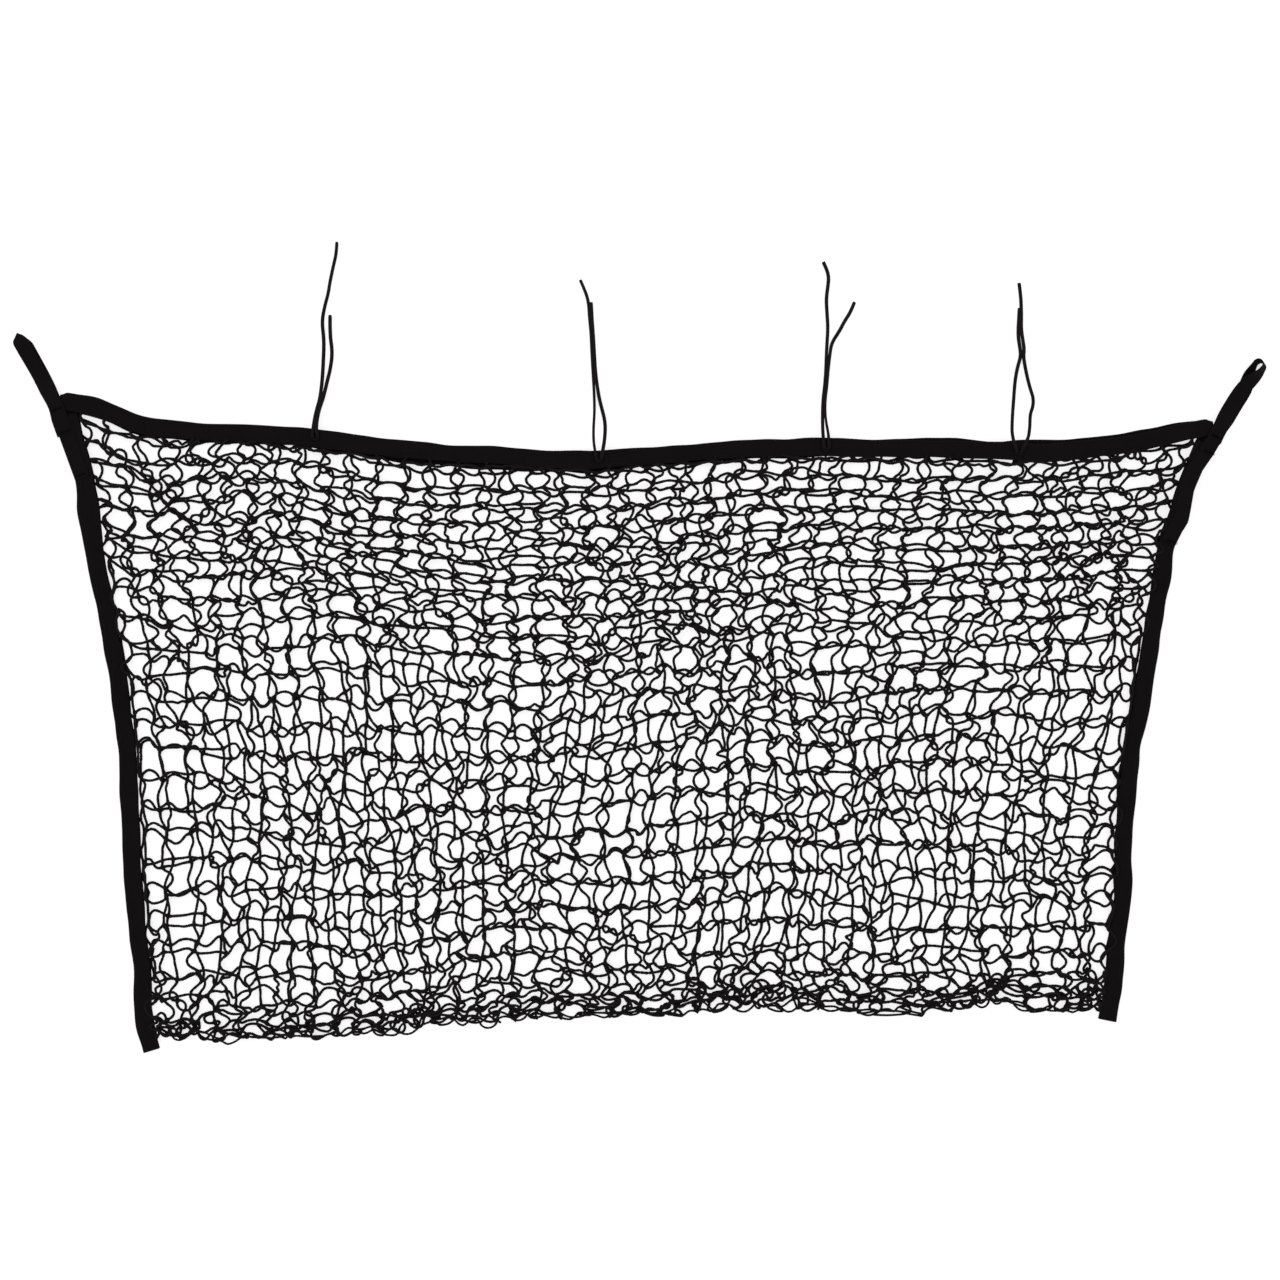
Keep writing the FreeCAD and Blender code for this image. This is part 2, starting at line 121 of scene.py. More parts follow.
# Routes of the ties' tails: those of their CAD tubes, with points moved and added for the
# cords' small turns. roll says how the flat cord turns along its way, in quarter turns:
# 0 lies flat and 1 stands on its edge. A point without a height has the cord on the surface.
TIES = {
    "tie_1": {"root": (-0.4313, 0.3393),
              "left_tail": {"length": 0.2625, "roll": (0.4, 0.0, 0.0, 0.2, 0.4, 0.5), "points": [
        (-0.4345, 0.3409, 0.0169), (-0.4338, 0.3500, 0.0182), (-0.4302, 0.3720, 0.0135),
        (-0.4253, 0.3890, 0.0088), (-0.4228, 0.4127, 0.0040), (-0.4213, 0.4387, 0.0028),
        (-0.4203, 0.4687), (-0.4233, 0.4927), (-0.4197, 0.5127),
        (-0.4147, 0.5307), (-0.4127, 0.5447), (-0.4080, 0.5670),
        (-0.4037, 0.5850), (-0.4033, 0.5993)]},
              "right_tail": {"length": 0.1644, "roll": (0.4, 0.1, 0.0, 0.0, 0.1, 0.0), "points": [
        (-0.4281, 0.3409, 0.0169), (-0.4297, 0.3500, 0.0182), (-0.4270, 0.3720, 0.0135),
        (-0.4221, 0.3870, 0.0095), (-0.4193, 0.3980, 0.0066), (-0.4162, 0.4127, 0.0042),
        (-0.4117, 0.4307, 0.0030), (-0.4091, 0.4527), (-0.4127, 0.4767),
        (-0.4123, 0.5020)]}},
    "tie_2": {"root": (-0.0540, 0.3100),
              "left_tail": {"length": 0.2417, "roll": (0.6, 0.7, 0.6, 0.2, 0.3, 0.5), "points": [
        (-0.0572, 0.3116, 0.0169), (-0.0606, 0.3260, 0.0186), (-0.0614, 0.3480, 0.0120),
        (-0.0598, 0.3720, 0.0068), (-0.0603, 0.3950, 0.0030), (-0.0620, 0.4285),
        (-0.0630, 0.4481), (-0.0643, 0.4774), (-0.0664, 0.4970),
        (-0.0676, 0.5160), (-0.0698, 0.5264), (-0.0742, 0.5380),
        (-0.0790, 0.5487)]},
              "right_tail": {"length": 0.2097, "roll": (0.2, 0.1, 0.1, 0.4, 0.7, 0.2), "points": [
        (-0.0508, 0.3116, 0.0169), (-0.0475, 0.3250, 0.0186), (-0.0455, 0.3450, 0.0130),
        (-0.0458, 0.3580, 0.0092), (-0.0482, 0.3698, 0.0064), (-0.0535, 0.3894, 0.0036),
        (-0.0566, 0.4089, 0.0028), (-0.0588, 0.4285), (-0.0598, 0.4481),
        (-0.0611, 0.4774), (-0.0632, 0.4970), (-0.0644, 0.5190)]}},
    "tie_3": {"root": (0.2487, 0.3250),
              "left_tail": {"length": 0.2491, "roll": (0.3, 0.2, 0.6, 0.2, 0.1, 0.0), "points": [
        (0.2455, 0.3266, 0.0169), (0.2434, 0.3407, 0.0186), (0.2436, 0.3720, 0.0090),
        (0.2446, 0.3900, 0.0050), (0.2466, 0.4063, 0.0028), (0.2480, 0.4277),
        (0.2499, 0.4649), (0.2512, 0.4845), (0.2499, 0.5041),
        (0.2488, 0.5237), (0.2514, 0.5420), (0.2522, 0.5531),
        (0.2490, 0.5640), (0.2448, 0.5727)]},
              "right_tail": {"length": 0.2016, "roll": (0.4, 0.8, 0.6, 0.3, 0.1, 0.2), "points": [
        (0.2519, 0.3266, 0.0169), (0.2515, 0.3400, 0.0186), (0.2478, 0.3600, 0.0126),
        (0.2470, 0.3780, 0.0078), (0.2480, 0.3930, 0.0046), (0.2499, 0.4063, 0.0028),
        (0.2513, 0.4277), (0.2535, 0.4480), (0.2561, 0.4649),
        (0.2668, 0.4807), (0.2727, 0.4927), (0.2816, 0.5060),
        (0.2866, 0.5193)]}},
    "tie_4": {"root": (0.5047, 0.3193),
              "left_tail": {"length": 0.1938, "roll": (0.3, 0.3, 0.2, 0.1, 0.0, 0.0), "points": [
        (0.5015, 0.3209, 0.0169), (0.4945, 0.3370, 0.0186), (0.4960, 0.3646, 0.0102),
        (0.4985, 0.3906, 0.0050), (0.5003, 0.4132, 0.0028), (0.5037, 0.4322),
        (0.5080, 0.4461), (0.5074, 0.4560), (0.5052, 0.4687),
        (0.5046, 0.4808), (0.5056, 0.4960), (0.5064, 0.5113)]},
              "right_tail": {"length": 0.2294, "roll": (0.3, 0.3, 0.2, 0.1, 0.0, 0.1, 0.1), "points": [
        (0.5079, 0.3209, 0.0169), (0.5160, 0.3340, 0.0186), (0.5190, 0.3508, 0.0140),
        (0.5198, 0.3690, 0.0092), (0.5240, 0.3795, 0.0065), (0.5248, 0.3912, 0.0038),
        (0.5204, 0.4045, 0.0028), (0.5160, 0.4219), (0.5115, 0.4461),
        (0.5128, 0.4560), (0.5106, 0.4700), (0.5086, 0.4840),
        (0.5090, 0.4999), (0.5085, 0.5207), (0.5072, 0.5340),
        (0.5058, 0.5447)]}},
}

# -------- camera, light and floor

FRAMED = 1.7067             # width of the surface that the picture takes in
LENS, SENSOR = 100.0, 36.0
AIM = (0.0005, 0.0097)      # from the net's middle to the point under the camera
AMBIENT = 1.70              # strength of the white surroundings
KEY_WATTS, FILL_WATTS = 60, 22
FLOOR_GREY = 0.22           # the floor is grey and shines a little, as a light table does
FLOOR_GLOW = 0.70


def add_camera():
    """Straight above the middle of the whole net, far enough off to see it nearly flat."""
    middle = (cad_low + cad_high) / 2
    data = bpy.data.cameras.new("overhead_camera")
    data.lens, data.sensor_width = LENS, SENSOR
    data.clip_end = 50.0
    camera = bpy.data.objects.new("overhead_camera", data)
    camera.location = (middle.x + AIM[0], middle.y + AIM[1], FRAMED * LENS / SENSOR)
    bpy.context.scene.collection.objects.link(camera)
    bpy.context.scene.camera = camera


def add_light(name, place, size, power):
    data = bpy.data.lights.new(name, "AREA")
    data.shape, data.size, data.energy = "DISK", size, power
    light = bpy.data.objects.new(name, data)
    light.location = place
    light.rotation_euler = (-Vector(place)).to_track_quat("-Z", "Y").to_euler()
    bpy.context.scene.collection.objects.link(light)


def add_studio():
    scene = bpy.context.scene
    scene.view_settings.view_transform = "Standard"
    world = bpy.data.worlds.new("studio")
    world.use_nodes = True
    background = world.node_tree.nodes["Background"]
    background.inputs["Color"].default_value = (1, 1, 1, 1)
    background.inputs["Strength"].default_value = AMBIENT
    scene.world = world
    add_light("key_light", (-1.6, 1.8, 3.4), 2.2, KEY_WATTS)
    add_light("fill_light", (2.2, -1.4, 3.0), 2.6, FILL_WATTS)


def add_floor():
    bpy.ops.mesh.primitive_plane_add(size=16.0, location=(0, 0, -0.0002))
    floor = bpy.context.object
    floor.name = "studio_floor"
    pen = Pen("studio_floor")
    pen.shader["Base Color"] = (FLOOR_GREY, FLOOR_GREY, FLOOR_GREY, 1)
    pen.shader["Emission Color"] = (1, 1, 1, 1)
    pen.shader["Emission Strength"] = FLOOR_GLOW
    pen.shader["Roughness"] = 0.9
    pen.shader["Specular IOR Level"] = 0.1
    floor.data.materials.append(pen.finish())


# -------- materials


class Pen:
    """Writes a procedural material as short sums of nodes."""

    def __init__(self, name):
        self.material = bpy.data.materials.new(name)
        self.material.use_nodes = True
        self.tree = self.material.node_tree
        self.principled = self.tree.nodes["Principled BSDF"]
        self.shader = {}

    def node(self, kind, inputs=(), **settings):
        made = self.tree.nodes.new(kind)
        for key, value in settings.items():
            setattr(made, key, value)
        for key, value in dict(inputs).items():
            self.give(made.inputs[key], value)
        return made

    def give(self, socket, value):
        if isinstance(value, bpy.types.NodeSocket):
            self.tree.links.new(value, socket)
        else:
            socket.default_value = value

    def math(self, operation, a, b=0.0, c=0.0):
        return self.node("ShaderNodeMath", {0: a, 1: b, 2: c}, operation=operation).outputs[0]

    def wave(self, a, turns):
        """A sine of a, from 0 to 1, with that many turns for each unit."""
        sine = self.math("SINE", self.math("MULTIPLY", a, turns * math.tau))
        return self.math("MULTIPLY_ADD", sine, 0.5, 0.5)

    def noise(self, scale, detail, where):
        inputs = {"Scale": scale, "Detail": detail, "Vector": where}
        return self.node("ShaderNodeTexNoise", inputs).outputs["Fac"]

    def uv(self):
        """The surface's own two directions: round or across it, and along it."""
        split = self.node("ShaderNodeSeparateXYZ", {0: self.node("ShaderNodeTexCoord").outputs["UV"]})
        return split.outputs[0], split.outputs[1]

    def place(self):
        return self.node("ShaderNodeTexCoord").outputs["Object"]

    def blend(self, dark, light, factor):
        mix = self.node("ShaderNodeMix", data_type="RGBA")
        self.give(mix.inputs[0], factor)
        self.give(mix.inputs[6], (*dark, 1))
        self.give(mix.inputs[7], (*light, 1))
        return mix.outputs[2]

    def bump(self, height, distance):
        inputs = {"Height": height, "Distance": distance, "Strength": 1.0}
        return self.node("ShaderNodeBump", inputs).outputs["Normal"]

    def finish(self):
        for key, value in self.shader.items():
            self.give(self.principled.inputs[key], value)
        return self.material


def cloth(name, height, depth, dark, light, roughness, sheen):
    """Fabric whose weave is a height over its own surface, with fibres, wear and dust, and painted shade: its
    colour is darker in the weave's low places and lighter on its raised strands.
    """
    pen = Pen(name)
    weave = height(pen)
    fibres = pen.noise(2600.0, 3.0, pen.place())
    patches = pen.noise(24.0, 4.0, pen.place())
    relief = pen.math("MULTIPLY_ADD", fibres, 0.35, weave)
    # Colour: random patches of tone, plus painted shade that darkens the weave's low places and lightens its
    # raised strands.
    tone_and_painted_weave_shade = pen.math("MULTIPLY_ADD", patches, 0.55, pen.math("MULTIPLY", weave, 0.45))
    pen.shader["Base Color"] = pen.blend(dark, light, tone_and_painted_weave_shade)
    pen.shader["Roughness"] = pen.math("MULTIPLY_ADD", fibres, 0.2, roughness)
    pen.shader["Specular IOR Level"] = 0.036
    pen.shader["Sheen Weight"] = sheen
    pen.shader["Sheen Roughness"] = 0.6
    pen.shader["Normal"] = pen.bump(relief, depth)
    return pen.finish()


def twisted(pen):
    """Three strands that turn round the twine."""
    round_it, along = pen.uv()
    lay = pen.math("MULTIPLY_ADD", along, 110.0, round_it)
    return pen.math("POWER", pen.wave(lay, 3.0), 0.6)


def braided(pen):
    """Strands that cross in small diamonds."""
    round_it, along = pen.uv()
    one = pen.wave(pen.math("MULTIPLY_ADD", along, 160.0, round_it), 4.0)
    other = pen.wave(pen.math("MULTIPLY_ADD", along, -160.0, round_it), 4.0)
    return pen.math("MAXIMUM", one, other)


def ribbed(pen):
    """Tape: fine ribs across, with a herringbone that turns at the middle of each leaf."""
    across, along = pen.uv()
    zigzag = pen.math("PINGPONG", across, 0.0029)
    twill = pen.wave(pen.math("ADD", along, zigzag), 900.0)
    return pen.math("MULTIPLY_ADD", pen.wave(across, 1300.0), 0.35, pen.math("MULTIPLY", twill, 0.65))


def webbed(pen):
    """Webbing: thick ribs across, broken by the warp."""
    across, along = pen.uv()
    ribs, warp = pen.wave(across, 620.0), pen.wave(along, 480.0)
    return pen.math("MULTIPLY_ADD", ribs, 0.5, pen.math("MULTIPLY", warp, 0.5))


def spun(pen):
    """Sewing thread: a tight two-ply twist."""
    round_it, along = pen.uv()
    return pen.wave(pen.math("MULTIPLY_ADD", along, 700.0, round_it), 2.0)


# Each fabric: name, weave, depth of its relief, dark and light colour (blended by random patches and by the
# painted shade of the weave), roughness and sheen.
FABRICS = {
    "netting": ("twine_black", twisted, 0.35 * MM,
                (0.0014, 0.0008, 0.0010), (0.0044, 0.0032, 0.0036), 0.60, 0.006),
    "tape": ("tape_black", ribbed, 0.16 * MM,
             (0.0010, 0.0006, 0.0007), (0.0032, 0.0022, 0.0025), 0.82, 0.004),
    "webbing": ("webbing_black", webbed, 0.30 * MM,
                (0.0010, 0.0006, 0.0007), (0.0030, 0.0021, 0.0024), 0.78, 0.004),
    "thread": ("thread_black", spun, 0.12 * MM,
               (0.0012, 0.0009, 0.0010), (0.0040, 0.0034, 0.0036), 0.55, 0.006),
    "cord": ("cord_black", braided, 0.22 * MM,
             (0.0020, 0.0012, 0.0014), (0.0056, 0.0042, 0.0046), 0.75, 0.006),
}
MATERIALS = {slot: cloth(*facts) for slot, facts in FABRICS.items()}

# -------- mesh helpers


def add_mesh(name, slot, points, quads, uvs, tips=()):
    """A mesh of quads with smooth shading; tips are the polygons that close its ends."""
    faces = [tuple(q) for q in np.asarray(quads).tolist()] + [tuple(t) for t in tips]
    mesh = bpy.data.meshes.new(name)
    mesh.from_pydata(np.asarray(points).tolist(), [], faces)
    layer = mesh.uv_layers.new(name="surface")
    values = np.zeros((len(mesh.loops), 2))
    values[:len(uvs)] = uvs
    layer.data.foreach_set("uv", values.ravel())
    mesh.polygons.foreach_set("use_smooth", np.ones(len(faces), bool))
    mesh.materials.append(MATERIALS[slot])
    mesh.update()
    piece = bpy.data.objects.new(name, mesh)
    bpy.context.scene.collection.objects.link(piece)
    return piece


def sizes_of(vectors):
    """Length of each vector, as a last axis of one, and never 0."""
    return np.maximum(np.linalg.norm(vectors, axis=-1, keepdims=True), 1e-9)


def turned_left(vectors):
    """Vectors in plan, turned a quarter turn to the left."""
    return np.stack([-vectors[..., 1], vectors[..., 0]], axis=-1)


def directions(line):
    """Unit tangents of one line or of many lines of points."""
    step = np.gradient(line, axis=-2)
    return step / sizes_of(step)


def lengths(line):
    """Distance along each line at each of its points."""
    steps = np.linalg.norm(np.diff(line, axis=-2), axis=-1)
    return np.concatenate([np.zeros(steps.shape[:-1] + (1,)), np.cumsum(steps, axis=-1)], axis=-1)


def skin(rings, lines, unroll, start):
    """Quads and their texture places for closed sections along lines of equal count.
    rings is (lines, stations, sides, 3); unroll is the section's own measure, sides + 1."""
    many, stations, sides = rings.shape[:3]
    number = start + np.arange(many * stations * sides).reshape(many, stations, sides)
    following = np.roll(number, -1, axis=2)
    quads = np.stack([number[:, :-1], following[:, :-1], following[:, 1:], number[:, 1:]], axis=-1)
    far = lengths(lines)
    low, high = (np.broadcast_to(u, quads.shape[:3]) for u in (unroll[:-1], unroll[1:]))
    near_v, far_v = (np.broadcast_to(v[..., None], quads.shape[:3]) for v in (far[:, :-1], far[:, 1:]))
    uvs = np.stack([np.stack([low, near_v], -1), np.stack([high, near_v], -1),
                    np.stack([high, far_v], -1), np.stack([low, far_v], -1)], axis=-2)
    tips = [t for k in range(many) for t in (number[k, 0][::-1], number[k, -1])]
    return quads.reshape(-1, 4), uvs.reshape(-1, 2), tips


def square_to(lines):
    """The level and the upward direction square to lines that lie roughly flat."""
    tangent = directions(lines)
    side = np.cross(np.array([0, 0, 1.0]), tangent)
    side /= sizes_of(side)
    return side, np.cross(tangent, side)


def tubes(lines, radii, sides):
    """Round sections along lines of equal count."""
    side, up = square_to(lines)
    turn = np.arange(sides) * math.tau / sides
    radii = radii[..., None, None]
    return lines[:, :, None] + radii * (np.cos(turn)[..., None] * side[:, :, None]
                                        + np.sin(turn)[..., None] * up[:, :, None])


class Batch:
    """Collects sections of several counts into one mesh."""

    def __init__(self):
        self.points, self.quads, self.uvs, self.tips, self.count = [], [], [], [], 0

    def add(self, rings, lines, unroll):
        quads, uvs, tips = skin(rings, lines, unroll, self.count)
        flat = rings.reshape(-1, 3)
        self.points.append(flat)
        self.quads.append(quads)
        self.uvs.append(uvs)
        self.tips += tips
        self.count += len(flat)
        return self

    def tube(self, lines, radii, sides=6):
        lines = np.asarray(lines, float)
        if lines.ndim == 2:
            lines = lines[None]
        radii = np.broadcast_to(radii, lines.shape[:2])
        return self.add(tubes(lines, radii, sides), lines, np.arange(sides + 1) / sides)

    def build(self, name, slot):
        return add_mesh(name, slot, np.concatenate(self.points), np.concatenate(self.quads),
                        np.concatenate(self.uvs), self.tips)

    def on_net(self, name, slot, *nodes):
        """Builds the mesh as a piece of the net that stands for these nodes."""
        piece = self.build(name, slot)
        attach(piece, "net")
        if nodes:
            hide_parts(*nodes)
        return piece


def smoothstep(value):
    value = np.clip(value, 0, 1)
    return value * value * (3 - 2 * value)


def ripple(rng, length):
    """A smooth random height over the plan, mostly from -1 to 1, with waves about this long."""
    count = 14
    angle = rng.uniform(0, math.tau, count)
    turns = math.tau / (length * rng.uniform(0.7, 1.6, count))
    start = rng.uniform(0, math.tau, count)

    def height(x, y):
        waves = [np.sin(n * (x * math.cos(a) + y * math.sin(a)) + s)
                 for a, n, s in zip(angle, turns, start)]
        return sum(waves) / math.sqrt(count / 2) * 0.7

    return height


def finer(lines):
    """Twice the points, on a smooth curve through the given ones."""
    before = np.concatenate([lines[:, :1], lines[:, :-1]], axis=1)[:, :-1]
    after = np.concatenate([lines[:, 1:], lines[:, -1:]], axis=1)[:, 1:]
    middle = (9 * (lines[:, :-1] + lines[:, 1:]) - before - after) / 16
    made = np.empty((lines.shape[0], 2 * lines.shape[1] - 1, lines.shape[2]))
    made[:, ::2], made[:, 1::2] = lines, middle
    return made


# -------- outlines from the frame


def cut_span(node, axis, at):
    """Lowest and highest reach of a node, across, where a plane cuts it."""
    mesh = NODES[node].data
    points = np.array([v.co for v in mesh.vertices])
    pairs = np.array([e.vertices for e in mesh.edges])
    a, b = points[pairs[:, 0]], points[pairs[:, 1]]
    spans = []
    for place in at:
        met = (a[:, axis] - place) * (b[:, axis] - place) < 0
        share = (place - a[met, axis]) / (b[met, axis] - a[met, axis])
        across = a[met, 1 - axis] + share * (b[met, 1 - axis] - a[met, 1 - axis])
        spans.append((across.min(), across.max()))
    return np.array(spans)


def tape_line(node, axis, count):
    """Middle line of a tape from end to end, which the frame's solid gives."""
    low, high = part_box(node)
    margin = TAPE_HALF * 0.9
    at = np.linspace(low[axis] + margin, high[axis] - margin, count)
    line = np.empty((count, 2))
    line[:, axis], line[:, 1 - axis] = at, cut_span(node, axis, at).mean(axis=1)
    ends = []
    for k, j, limit, way in ((0, 4, low[axis], 1), (-1, -5, high[axis], -1)):
        step = line[k] - line[j]
        step /= np.linalg.norm(step)
        goal = limit + way * TAPE_HALF * abs(step[1 - axis])
        ends.append(line[k] + step * (goal - line[k, axis]) / step[axis])
    return np.vstack([ends[0], line, ends[1]])


RIM_LINE = {side: tape_line(RIMS[side][0], 0, 260) for side in RIMS}
SIDE_LINE = {side: tape_line(f"{side}_side_tape", 1, 150) for side in SIDES}
FOLD = "bottom_fold_netting"
fold_at = np.linspace(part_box(FOLD)[0].x + 20 * MM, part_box(FOLD)[1].x - 20 * MM, 120)
FOLD_LINE = np.column_stack([fold_at, cut_span(FOLD, 0, fold_at)[:, 0]])


def rim_y(side, x):
    return np.interp(x, RIM_LINE[side][:, 0], RIM_LINE[side][:, 1])


def side_x(side, y):
    return np.interp(y, SIDE_LINE[side][:, 1], SIDE_LINE[side][:, 0])


def fold_y(x):
    return np.interp(x, FOLD_LINE[:, 0], FOLD_LINE[:, 1])


def rim_base(side, x):
    """Underside of a rim's tape: the front one sags a little between the ties."""
    if side == "back":
        return np.full_like(x, UNDER)
    held = [tie["root"][0] for tie in TIES.values()] + [RIM_LINE[side][0, 0], RIM_LINE[side][-1, 0]]
    free = np.prod([1 - np.exp(-((x - at) / 0.055) ** 2) for at in held], axis=0)
    return RIM_LIFT - RIM_SAG * free


def side_height(side, y):
    """Height of a side's folded tape, which grows under the hanging loop."""
    top = SIDE_LINE[side][-1, 1]
    return SIDE_HEIGHT + (CORNER_HEIGHT - SIDE_HEIGHT) * smoothstep((y - top + 0.17) / 0.07)


# -------- netting

# Millimetres between the rows as they lie, from under the rim to the gathered bottom.
ROW_PITCH = [23] * 6 + [24, 25, 26, 28, 30, 32] + [34] * 9 + [33, 29, 23, 14, 9]
FIRST_ROW = 4.0 * MM        # from the rim tape to the first twine under it
CREASES = [                 # lines that the meshes have drawn together to: x, y, x, y, reach, pull
    (-0.738, 0.352, -0.700, 0.316, 0.020, 0.70), (-0.700, 0.316, -0.640, 0.262, 0.024, 0.70),
    (-0.692, 0.345, -0.605, 0.318, 0.014, 0.50), (-0.730, 0.325, -0.690, 0.210, 0.018, 0.60),
    (-0.633, 0.289, -0.606, 0.215, 0.020, 0.60), (-0.688, 0.190, -0.660, 0.120, 0.030, 0.40),
    (-0.688, 0.150, -0.668, -0.010, 0.016, 0.55), (-0.655, -0.060, -0.645, -0.400, 0.018, 0.60),
    (-0.558, -0.240, -0.553, -0.310, 0.020, 0.65), (-0.528, -0.270, -0.530, -0.400, 0.020, 0.60),
    (-0.560, -0.350, -0.560, -0.420, 0.018, 0.60), (-0.632, -0.250, -0.640, -0.430, 0.022, 0.60),
    (-0.640, -0.397, -0.570, -0.397, 0.016, 0.55), (-0.640, -0.440, -0.600, -0.446, 0.030, 0.65),
    (-0.360, 0.115, -0.375, -0.080, 0.018, 0.45), (-0.375, -0.080, -0.470, -0.240, 0.020, 0.45),
    (-0.110, 0.120, -0.030, 0.230, 0.016, 0.40), (-0.060, -0.180, -0.170, -0.300, 0.020, 0.40),
    (0.700, 0.300, 0.666, 0.130, 0.020, 0.65), (0.650, 0.310, 0.620, 0.110, 0.020, 0.50),
    (0.560, 0.200, 0.640, 0.080, 0.018, 0.45), (0.645, 0.060, 0.630, -0.200, 0.016, 0.45),
    (0.452, -0.397, 0.485, -0.385, 0.030, 0.75), (0.455, -0.320, 0.484, -0.380, 0.020, 0.50),
    (0.330, -0.100, 0.300, -0.300, 0.018, 0.45), (0.590, -0.380, 0.620, -0.420, 0.022, 0.50),
    (-0.285, -0.430, -0.215, -0.432, 0.018, 0.50), (0.080, -0.395, 0.130, -0.398, 0.018, 0.45),
]
CROWDED = [                 # places where the twine lies slack and crowded: x, y, reach, share
    (-0.670, 0.285, 0.060, 0.65), (-0.600, 0.240, 0.070, 0.50), (0.670, 0.260, 0.060, 0.50),
    (-0.615, -0.020, 0.080, 0.35), (-0.600, -0.200, 0.090, 0.35), (0.400, -0.050, 0.100, 0.25),
    (0.100, -0.050, 0.120, 0.25), (-0.200, -0.050, 0.120, 0.20),
]


def net_goals(side):
    """Where each crossing of a panel rests, before the twine's own stiffness moves it."""
    pitch = np.array(ROW_PITCH, float)
    share = np.concatenate([[0, 0], np.cumsum(pitch)]) / pitch.sum()
    u = np.linspace(0, 1, COLUMNS + 1)
    goals = np.empty((ROWS + 1, COLUMNS + 1, 2))
    for row, v in enumerate(share):
        y = 0.33 * (1 - v) - 0.43 * v
        for _ in range(3):
            left = side_x("left", y) + TAPE_HALF + SLIT
            right = side_x("right", y) - TAPE_HALF - SLIT
            x = left + (right - left) * u
            top = rim_y(side, x) - TAPE_HALF - FIRST_ROW
            y = top + (fold_y(x) + 2 * MM - top) * v
        goals[row, :, 0], goals[row, :, 1] = x, y
    goals[0, :, 1] += TAPE_HALF + FIRST_ROW
    return goals


def drift(goals, fields, amount, top_share=0.15):
    """Moves the goals by smooth random fields, less towards the bound edges."""
    x, y = goals[..., 0].copy(), goals[..., 1].copy()
    down, over = np.mgrid[0:ROWS + 1, 0:COLUMNS + 1]
    depth = top_share + (1 - top_share) * smoothstep(down / 8.0)
    loose_y = depth * smoothstep(down / 2.0) * (0.35 + 0.65 * smoothstep((ROWS - down) / 5.0))
    loose_x = depth * smoothstep(down / 2.0) * smoothstep((over + 0.6) / 2.4)
    loose_x = loose_x * smoothstep((COLUMNS - over + 0.6) / 2.4)
    goals[..., 0] += amount * fields[0](x, y) * loose_x
    goals[..., 1] += amount * fields[1](x, y) * loose_y
    return goals


def scatter(goals, rng, top, bottom):
    """Moves each crossing a little on its own, more towards the bottom."""
    down, over = np.mgrid[0:ROWS + 1, 0:COLUMNS + 1]
    amount = top + (bottom - top) * smoothstep(down / 14.0)
    amount = amount * np.where((over == 0) | (over == COLUMNS), 0.5, 1.0) * np.where(down == 0, 0.4, 1.0)
    goals[1:] += (rng.normal(0, 1, goals.shape) * amount[..., None])[1:]
    return goals


def draw_together(goals):
    """Pulls the goals towards the creases, and says how gathered each crossing is."""
    gathered = np.zeros(goals.shape[:2])
    for x0, y0, x1, y1, reach, pull in CREASES:
        start, way = np.array([x0, y0]), np.array([x1 - x0, y1 - y0])
        along = np.clip(((goals - start) * way).sum(axis=-1) / (way ** 2).sum(), 0, 1)
        gap = start + along[..., None] * way - goals
        weight = pull * np.exp(-(gap ** 2).sum(axis=-1) / reach ** 2)
        weight[0] = 0
        weight[:, [0, -1]] *= 0.2
        goals += gap * weight[..., None]
        gathered = np.maximum(gathered, weight)
    for x, y, reach, crowd in CROWDED:
        far = ((goals - (x, y)) ** 2).sum(axis=-1)
        gathered = np.maximum(gathered, crowd * np.exp(-far / reach ** 2))
    return goals, gathered


def net_lines():
    """Numbers of the points along each row and each column; rows and columns share the crossings."""
    crossing = np.arange((ROWS + 1) * (COLUMNS + 1)).reshape(ROWS + 1, COLUMNS + 1)
    across = np.empty((ROWS + 1, COLUMNS * STEPS + 1), int)
    down = np.empty((COLUMNS + 1, ROWS * STEPS + 1), int)
    count = crossing.size
    for table, shared in ((across, crossing), (down, crossing.T)):
        inner = np.arange(table.shape[1]) % STEPS != 0
        table[:, ~inner] = shared
        table[:, inner] = count + np.arange(table.shape[0] * inner.sum()).reshape(table.shape[0], -1)
        count += table.shape[0] * int(inner.sum())
    return crossing, across, down, count


def bar_lengths(chords, slack, rng):
    """Length of each bar in plan: its span and some slack, and never more than its twine."""
    full = BAR * rng.uniform(0.94, 1.04, chords.shape)
    return np.maximum(np.minimum(chords * (1 + slack), full), chords * 0.98)


def bowed(points, table, bars, rng, lean):
    """Starts every bar as a smooth bow of its length, to one side or in an S."""
    start, stop = points[table[:, :-1:STEPS]], points[table[:, STEPS::STEPS]]
    chord = stop - start
    span = sizes_of(chord)[..., 0]
    normal = turned_left(chord) / span[..., None]
    size = 0.64 * span * np.sqrt(np.clip(bars / span - 1, 0, 3))
    kind = rng.uniform(-1.1, 1.1, span.shape)
    single, double = size * np.cos(kind) * lean, size * np.sin(kind) * 0.5
    for step in range(1, STEPS):
        t = step / STEPS
        bow = single * math.sin(math.pi * t) + double * math.sin(math.tau * t)
        points[table[:, step::STEPS]] = start + chord * t + normal * bow[..., None]


